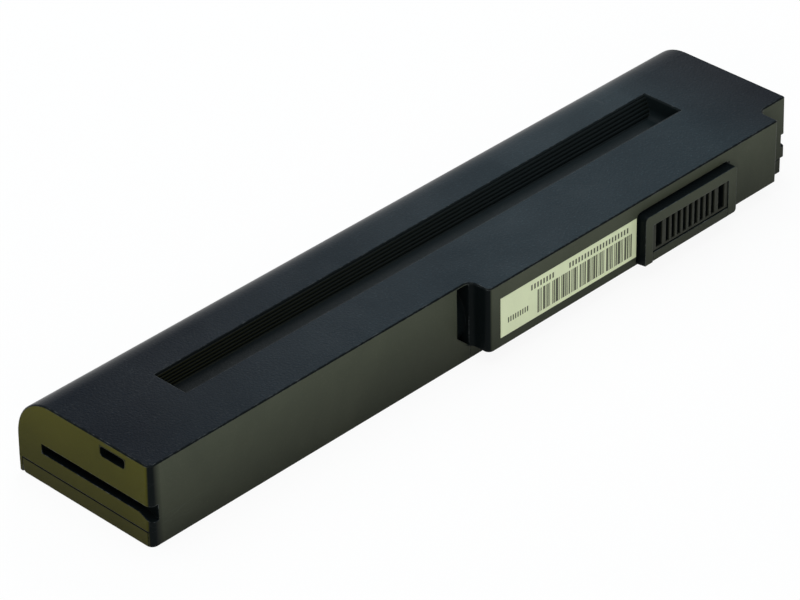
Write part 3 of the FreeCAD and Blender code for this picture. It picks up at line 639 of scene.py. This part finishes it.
def insert_finish(case):
    """Smooth dark plastic of the slotted connector block, with painted shade down its slots."""
    material, tree, shader, place = new_finish("connector_black", Specular_IOR_Level=0.06)
    wear_and_highlight = use_group(tree, "wear_and_highlight", place, Radius=0.12 * MM)
    smudge = use_group(tree, "handling", place, Size=6 * MM)["Smudge"]
    grain = use_group(tree, "grain", place, Size=0.2 * MM)
    base = stained(tree, smudge, solid(case.insert), toned(case.insert, 1.3), share=0.5)
    polished = stained(tree, wear_and_highlight["Mask"], base, solid(case.worn_and_highlit), share=0.4)
    # painted shade: the slots darken behind their mouths
    inside = spread_place(tree, parts_of(tree, place)["Y"], SLOT_MOUTHS)
    paint(tree, shader, blend_colour(tree, inside, polished, solid(case.shade)))
    rub(tree, shader, smudge, 0.44, 0.34)
    bump(tree, shader, grain["Height"], distance=0.03 * MM, strength=0.3, normal=wear_and_highlight["Normal"])
    return material


def plated_finish(name, colour, roughness):
    """Plated or rolled metal with fine lines and duller patches."""
    material, tree, shader, place = new_finish(name, Metallic=1.0)
    rolled = use_group(tree, "rolled", place, Size=0.12 * MM)
    smudge = use_group(tree, "handling", place, Size=4 * MM)["Smudge"]
    base = stained(tree, smudge, solid(colour), toned(colour, 0.6), share=0.5)
    paint(tree, shader, base)
    rub(tree, shader, rolled["Tone"], roughness, roughness + 0.16)
    bump(tree, shader, rolled["Height"], distance=0.02 * MM, strength=0.25)
    return material


def paper_finish(name, colour, size, roughness=0.62, coat=0.0):
    """Paper or pressed sheet, with its fibres."""
    material, tree, shader, place = new_finish(
        name, Coat_Weight=coat, Coat_Roughness=0.3, Specular_IOR_Level=0.3)
    fibre = use_group(tree, "fibre", place, Size=size)
    smudge = use_group(tree, "handling", place, Size=12 * MM)["Smudge"]
    fibred = stained(tree, fibre["Tone"], solid(colour), toned(colour, 0.86), share=0.5)
    base = stained(tree, smudge, fibred, toned(colour, 0.78), share=0.25)
    paint(tree, shader, base)
    rub(tree, shader, fibre["Tone"], roughness, roughness + 0.12)
    bump(tree, shader, fibre["Height"], distance=0.03 * MM, strength=0.3)
    return material


def ink_finish(colour):
    """Thermal print: thin, a little uneven, with paper showing through."""
    material, tree, shader, place = new_finish("label_ink", Specular_IOR_Level=0.3)
    fibre = use_group(tree, "fibre", place, Size=0.12 * MM)
    base = stained(tree, fibre["Tone"], solid(colour), toned(colour, 2.4), share=0.35)
    paint(tree, shader, base)
    rub(tree, shader, fibre["Tone"], 0.5, 0.68)
    return material


def sleeve_finish(colour):
    """Shrink sleeve of a cell: glossy film with faint drawn lines."""
    material, tree, shader, place = new_finish(
        "cell_sleeve", Coat_Weight=0.4, Coat_Roughness=0.12)
    rolled = use_group(tree, "rolled", place, Size=0.6 * MM)
    smudge = use_group(tree, "handling", place, Size=12 * MM)["Smudge"]
    base = stained(tree, smudge, solid(colour), toned(colour, 0.7), share=0.4)
    paint(tree, shader, base)
    rub(tree, shader, rolled["Tone"], 0.24, 0.36)
    bump(tree, shader, rolled["Height"], distance=0.04 * MM, strength=0.12)
    return material


def board_finish(colour):
    """Lacquered laminate with tracks under the lacquer and bare tinned pads."""
    material, tree, shader, place = new_finish(
        "board_lacquer", Coat_Weight=0.3, Coat_Roughness=0.15)
    tracks = use_group(tree, "tracks", place, Pitch=1.6 * MM)
    smudge = use_group(tree, "handling", place, Size=10 * MM)["Smudge"]
    under = blend_colour(tree, tracks["Track"], solid(colour), toned(colour, 1.9))
    lacquer = stained(tree, smudge, under, toned(colour, 0.7), share=0.3)
    paint(tree, shader, blend_colour(tree, tracks["Pad"], lacquer, BARE_PAD))
    join(tree, shader, "Metallic", tracks["Pad"])
    rub(tree, shader, tracks["Pad"], 0.30, 0.42)
    bump(tree, shader, tracks["Track"], distance=0.03 * MM, strength=0.35)
    return material


def film_finish():
    """Amber film of the flexible strip, with copper lines along it."""
    line_pitch, only_across = 1.1 * MM, (0.0, 1.0, 0.0)
    material, tree, shader, place = new_finish(
        "flex_amber", Coat_Weight=0.4, Coat_Roughness=0.12)
    across = scaled_place(tree, place, line_pitch, only_across)
    lines = add(tree, "ShaderNodeTexWave", {"Vector": across, "Scale": 1.0, "Distortion": 0.0},
                wave_type="BANDS", bands_direction="Y").outputs[0]
    copper = spread(tree, lines, *COPPER_WIDTH)
    smudge = use_group(tree, "handling", place, Size=8 * MM)["Smudge"]
    base = stained(tree, smudge, AMBER_FILM, AMBER_SHADE, share=0.4)
    paint(tree, shader, blend_colour(tree, copper, base, FLEX_COPPER))
    rub(tree, shader, smudge, 0.24, 0.36)
    bump(tree, shader, copper, distance=0.03 * MM, strength=0.3)
    return material


def foam_finish():
    """Dark closed-cell foam, open pores on its cut faces."""
    material, tree, shader, place = new_finish("foam_dark", Sheen_Weight=0.25)
    grain = use_group(tree, "grain", place, Size=0.7 * MM)
    paint(tree, shader, blend_colour(tree, grain["Speck"], FOAM, FOAM_SPECK))
    rub(tree, shader, grain["Height"], 0.85, 0.95)
    bump(tree, shader, grain["Height"], distance=0.2 * MM, strength=0.8)
    return material


def resin_finish(name, colour, roughness):
    """Moulded resin or fired ceramic of a small component."""
    material, tree, shader, place = new_finish(name)
    grain = use_group(tree, "grain", place, Size=0.25 * MM)
    smudge = use_group(tree, "handling", place, Size=3 * MM)["Smudge"]
    pale = solid([min(1.0, c * 1.6 + 0.01) for c in colour])
    speckled = stained(tree, grain["Speck"], solid(colour), pale, share=0.5)
    base = stained(tree, smudge, speckled, toned(colour, 0.8), share=0.3)
    paint(tree, shader, base)
    rub(tree, shader, smudge, roughness, roughness - 0.1)
    bump(tree, shader, grain["Height"], distance=0.03 * MM, strength=0.4)
    return material


def dress(names, material):
    """Gives CAD pieces a finish."""
    for name in names:
        node = NODES[name]
        node.data.materials.clear()
        node.data.materials.append(material)


def named(start):
    """The CAD pieces whose names start alike."""
    return [name for name in NODES if name.startswith(start)]


def new_piece(name, mesh, material):
    """A new object of the pack, from a mesh in place, that rides with the pack."""
    data = bpy.data.meshes.new(name)
    mesh.to_mesh(data)
    mesh.free()
    data.materials.append(material)
    piece = bpy.data.objects.new(name, data)
    bpy.context.scene.collection.objects.link(piece)
    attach(piece, "root")


def add_slab(mesh, low, high):
    """A closed slab between two corners."""
    size = [h - l for l, h in zip(low, high)]
    middle = [(h + l) / 2 for l, h in zip(low, high)]
    placed = Matrix.Translation(middle) @ Matrix.Diagonal((*size, 1.0))
    bmesh.ops.create_cube(mesh, size=1.0, matrix=placed)


def add_strip(mesh, outline, low, high):
    """A bent strip: an outline of (y, z) points drawn out along x."""
    rings = [[mesh.verts.new((x, y, z)) for y, z in outline] for x in (low, high)]
    count = len(outline)
    for i in range(count):
        j = (i + 1) % count
        mesh.faces.new((rings[0][i], rings[0][j], rings[1][j], rings[1][i]))
    mesh.faces.new(list(reversed(rings[0])))
    mesh.faces.new(rings[1])


class BATTERY_OT_case(bpy.types.Operator):
    """Finish the moulded shell and the cover below it"""

    bl_idname = "battery.case"
    bl_label = "Case"

    def execute(self, context):
        case = context.scene.battery_case
        shell = moulded_finish("case_plastic", case, grain_strength=1.0, dust_amount=0.05)
        cover = moulded_finish("cover_plastic", case, grain_strength=0.5, dust_amount=0.0,
                               shade=0.92)
        dress(["top_shell"], shell)
        dress(["bottom_cover"], cover)
        return {"FINISHED"}


class BATTERY_OT_connector(bpy.types.Operator):
    """Finish the slotted connector block and its contacts"""

    bl_idname = "battery.connector"
    bl_label = "Connector"

    def execute(self, context):
        dress(["connector_insert"], insert_finish(context.scene.battery_case))
        gold = context.scene.battery_inside.gold
        dress(named("contact_"), plated_finish("contact_gold", gold, roughness=0.22))
        return {"FINISHED"}


class BATTERY_OT_label(bpy.types.Operator):
    """Finish the label and print its bars and dashes"""

    bl_idname = "battery.label"
    bl_label = "Label"

    # In millimetres from the label's lower left corner, and in units of one thin bar
    bars_left, bars_right, bars_low, bars_high = 12.0, 43.75, 0.95, 7.1
    bar_widths = (2, 1, 1, 3, 1, 2, 1, 1, 2, 4, 1, 1, 3, 2, 1)
    gap_widths = (1, 1, 2, 1, 1, 1, 3, 1, 1, 1, 2, 1, 1)
    # Rows of dashes: left, right, low, high and how many
    dash_rows = ((9.9, 17.9, 7.85, 9.25, 8), (22.5, 43.0, 7.85, 9.25, 20),
                 (2.3, 9.3, 3.0, 4.4, 9))
    dash_share = 0.5

    def execute(self, context):
        label = context.scene.battery_label
        paper = paper_finish("label_paper", label.paper, 0.22 * MM, roughness=0.42, coat=0.25)
        dress(["barcode_label"], paper)
        ink = ink_finish(label.ink)
        self.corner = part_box("barcode_label")[0]
        bars, marks = bmesh.new(), bmesh.new()
        self.print_bars(bars, label)
        for left, right, low, high, count in self.dash_rows:
            self.print_dashes(marks, label, left, right, low, high, count)
        new_piece("label_bars", bars, ink)
        new_piece("label_marks", marks, ink)
        return {"FINISHED"}

    def print_slab(self, mesh, label, left, right, low, high):
        """One printed shape on the face of the label."""
        x, face, z = self.corner
        add_slab(mesh, (x + left * MM, face - label.ink_thickness, z + low * MM),
                 (x + right * MM, face, z + high * MM))

    def print_bars(self, mesh, label):
        """A field of upright bars whose widths and gaps follow two plain rhythms."""
        bars = [self.bar_widths[i % len(self.bar_widths)] for i in range(label.bar_count)]
        gaps = [self.gap_widths[i % len(self.gap_widths)] for i in range(label.bar_count - 1)]
        gaps.append(0)
        unit = (self.bars_right - self.bars_left) / (sum(bars) + sum(gaps))
        left = self.bars_left
        for bar, gap in zip(bars, gaps):
            self.print_slab(mesh, label, left, left + unit * bar, self.bars_low, self.bars_high)
            left += unit * (bar + gap)

    def print_dashes(self, mesh, label, left, right, low, high, count):
        """A row of short upright dashes."""
        pitch = (right - left) / count
        for i in range(count):
            start = left + pitch * i
            self.print_slab(mesh, label, start, start + pitch * self.dash_share, low, high)


class BATTERY_OT_cells(bpy.types.Operator):
    """Finish the cells, their rings, links, papers and pads"""

    bl_idname = "battery.cells"
    bl_label = "Cells"

    def execute(self, context):
        inside = context.scene.battery_inside
        dress(named("cell_"), sleeve_finish(inside.sleeve))
        dress(named("ring_"), paper_finish("ring_paper", RING_PAPER, 0.4 * MM))
        papers = named("link_paper_")
        dress(papers, paper_finish("insulator_paper", LINK_PAPER, 0.5 * MM))
        links = [name for name in named("link_") if name not in papers]
        dress(links, plated_finish("nickel_strip", inside.nickel, roughness=0.30))
        dress(named("end_pad_"), foam_finish())
        return {"FINISHED"}


class BATTERY_OT_board(bpy.types.Operator):
    """Finish the board and what stands on it, and add its small metal trim"""

    bl_idname = "battery.board"
    bl_label = "Board"

    # Legs along one side of each chip, and their size in millimetres
    legged = {"gauge_chip": 12, "protection_chip": 6, "charge_mosfet": 4, "discharge_mosfet": 4}
    leg_width, leg_thick, leg_reach = 0.32, 0.16, 0.9
    # Shares of the reach at which a leg bends down, over and under, and meets its foot
    bend_over, bend_under, foot_over, foot_under = 0.4, 0.25, 0.5, 0.35

    def execute(self, context):
        inside = context.scene.battery_inside
        dress(["circuit_board"], board_finish(inside.mask))
        dress(["sense_flex"], film_finish())
        dress(["board_insulator"], paper_finish("fish_paper", FISH_PAPER, 0.5 * MM))
        dress(["board_foam"], foam_finish())
        dress(self.legged, resin_finish("chip_resin", CHIP_RESIN, roughness=0.5))
        dress(["chip_fuse"], resin_finish("fuse_ceramic", FUSE_CERAMIC, roughness=0.4))
        dress(["capacitors"],
              resin_finish("capacitor_ceramic", CAPACITOR_CERAMIC, roughness=0.4))
        dress(["thermistor"], resin_finish("bead_resin", BEAD_RESIN, roughness=0.3))
        dress(["sense_resistor"],
              plated_finish("resistor_alloy", RESISTOR_ALLOY, roughness=0.35))
        tin = plated_finish("solder_tin", SOLDER_TIN, roughness=0.25)
        legs = bmesh.new()
        for name, count in self.legged.items():
            self.add_legs(legs, name, count)
        new_piece("chip_legs", legs, tin)
        return {"FINISHED"}

    def add_legs(self, mesh, name, count):
        """Bent legs along the upper and lower sides of a chip, down to the board."""
        low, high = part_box(name)
        pitch = (high.x - low.x) / (count + 1)
        half, thick = self.leg_width * MM / 2, self.leg_thick * MM
        board, knee = high.y, (low.y + high.y) / 2
        for i in range(1, count + 1):
            x = low.x + pitch * i
            for edge, way in ((high.z, 1), (low.z, -1)):
                reach = way * self.leg_reach * MM
                outline = [
                    (knee, edge),
                    (knee, edge + reach * self.bend_over),
                    (board - thick, edge + reach * self.foot_over),
                    (board - thick, edge + reach),
                    (board, edge + reach),
                    (board, edge + reach * self.foot_under),
                    (knee + thick, edge + reach * self.bend_under),
                    (knee + thick, edge)]
                add_strip(mesh, outline if way > 0 else outline[::-1], x - half, x + half)


class BATTERY_OT_stage(bpy.types.Operator):
    """Lay the floor, hang the lamps, set the sky and place the camera"""

    bl_idname = "battery.stage"
    bl_label = "Stage"

    floor_gap = 0.1 * MM
    floor_segments = 96
    sky_colour = (0.86, 0.93, 1.0, 1)
    # Name, the setting with its power, place, point it looks at, size and colour
    lamps = (
        ("lamp_overhead", "overhead", (-0.15, 0.10, 1.25), (0, 0, 0), 1.5, (0.90, 0.96, 1.0)),
        ("lamp_left_front", "side", (-1.0, -1.05, 0.55), (0, 0, 0.01), 0.9, (1.0, 0.97, 0.84)),
        ("lamp_back_right", "back", (0.36, 0.36, 0.36), (-0.01, 0, 0.01), 0.2,
         (0.92, 0.97, 1.0)),
    )

    def execute(self, context):
        stage = context.scene.battery_stage
        self.lay_floor(context, stage)
        for name, setting, place, target, size, colour in self.lamps:
            self.hang_lamp(context, name, place, target, size, getattr(stage, setting), colour)
        self.set_sky(context, stage)
        self.place_camera(context)
        context.scene.view_settings.view_transform = "Standard"
        return {"FINISHED"}

    def lay_floor(self, context, stage):
        """A wide round floor just under the pack, clear from below. The camera and reflections
        see it white, with the pack's shadow."""
        disc = bmesh.new()
        bmesh.ops.create_circle(disc, cap_ends=True, segments=self.floor_segments,
                                radius=stage.floor_radius)
        data = bpy.data.meshes.new("floor")
        disc.to_mesh(data)
        disc.free()
        data.materials.append(self.floor_finish(stage))
        floor = bpy.data.objects.new("floor", data)
        floor.location.z = -self.floor_gap
        context.scene.collection.objects.link(floor)

    def floor_finish(self, stage):
        """Matt floor with plain white mixed in where it is seen, and nothing on its underside."""
        material, tree, shader, _ = new_finish(
            "floor_white", Roughness=0.8, Specular_IOR_Level=0.1)
        shader.inputs["Base Color"].default_value = solid(stage.floor)
        glow = add(tree, "ShaderNodeEmission", {"Color": WHITE, "Strength": 1.0})
        share = times(tree, self.seen_ray(tree), stage.glow)
        above = self.mix_shaders(tree, share, shader, glow)
        clear = add(tree, "ShaderNodeBsdfTransparent")
        below = add(tree, "ShaderNodeNewGeometry").outputs["Backfacing"]
        one_sided = self.mix_shaders(tree, below, above, clear)
        join(tree, tree.nodes["Material Output"], "Surface", one_sided.outputs[0])
        return material

    def mix_shaders(self, tree, share, a, b):
        """Two shaders mixed by a share."""
        return add(tree, "ShaderNodeMixShader", {0: share, 1: a.outputs[0], 2: b.outputs[0]})

    def seen_ray(self, tree):
        """One for rays from the camera, and for those that the pack mirrors or lets through."""
        path = add(tree, "ShaderNodeLightPath").outputs
        seen = maths(tree, "MAXIMUM", path["Is Camera Ray"], path["Is Glossy Ray"])
        return maths(tree, "MAXIMUM", seen, path["Is Transmission Ray"])

    def hang_lamp(self, context, name, place, target, size, power, colour):
        """A square soft lamp that looks at a point."""
        data = bpy.data.lights.new(name, "AREA")
        data.shape = "SQUARE"
        data.size = size
        data.energy = power
        data.color = colour
        lamp = bpy.data.objects.new(name, data)
        lamp.location = place
        aim = Vector(target) - Vector(place)
        lamp.rotation_euler = aim.to_track_quat("-Z", "Y").to_euler()
        context.scene.collection.objects.link(lamp)

    def set_sky(self, context, stage):
        """A plain sky, white where the camera and reflections see it."""
        world = bpy.data.worlds.new("sky")
        context.scene.world = world
        world.use_nodes = True
        tree = world.node_tree
        plain = tree.nodes["Background"]
        plain.inputs["Color"].default_value = self.sky_colour
        plain.inputs["Strength"].default_value = stage.sky
        white = add(tree, "ShaderNodeBackground", {"Color": WHITE, "Strength": 1.0})
        mixed = self.mix_shaders(tree, self.seen_ray(tree), plain, white)
        join(tree, tree.nodes["World Output"], "Surface", mixed.outputs[0])

    def place_camera(self, context):
        """The camera where the photograph was taken from."""
        data = bpy.data.cameras.new("camera")
        data.lens = CAMERA_LENS
        data.clip_start, data.clip_end = CAMERA_CLIP
        camera = bpy.data.objects.new("camera", data)
        camera.location = CAMERA_PLACE
        camera.rotation_euler = [math.radians(a) for a in CAMERA_TURN]
        context.scene.collection.objects.link(camera)
        context.scene.camera = camera


OPERATORS = (BATTERY_OT_case, BATTERY_OT_connector, BATTERY_OT_label, BATTERY_OT_cells,
             BATTERY_OT_board, BATTERY_OT_stage)


class BATTERY_PT_panel(bpy.types.Panel):
    """Buttons and settings of the battery pack"""

    bl_idname = "BATTERY_PT_panel"
    bl_label = "Laptop Battery Pack"
    bl_space_type = "VIEW_3D"
    bl_region_type = "UI"
    bl_category = "Battery"

    def draw(self, context):
        for operator in OPERATORS:
            self.layout.operator(operator.bl_idname)
        for name, settings in SETTINGS.items():
            box = self.layout.box()
            for key in settings.__annotations__:
                box.prop(getattr(context.scene, name), key)


def register():
    for settings in SETTINGS.values():
        bpy.utils.register_class(settings)
    for name, settings in SETTINGS.items():
        setattr(bpy.types.Scene, name, bpy.props.PointerProperty(type=settings))
    for kind in (*OPERATORS, BATTERY_PT_panel):
        bpy.utils.register_class(kind)


def unregister():
    for kind in (BATTERY_PT_panel, *reversed(OPERATORS)):
        bpy.utils.unregister_class(kind)
    for name in SETTINGS:
        delattr(bpy.types.Scene, name)
    for settings in SETTINGS.values():
        bpy.utils.unregister_class(settings)


def main():
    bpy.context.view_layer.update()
    register()
    bpy.ops.battery.case()
    bpy.ops.battery.connector()
    bpy.ops.battery.label()
    bpy.ops.battery.cells()
    bpy.ops.battery.board()
    bpy.ops.battery.stage()


if __name__ == "__main__":
    main()
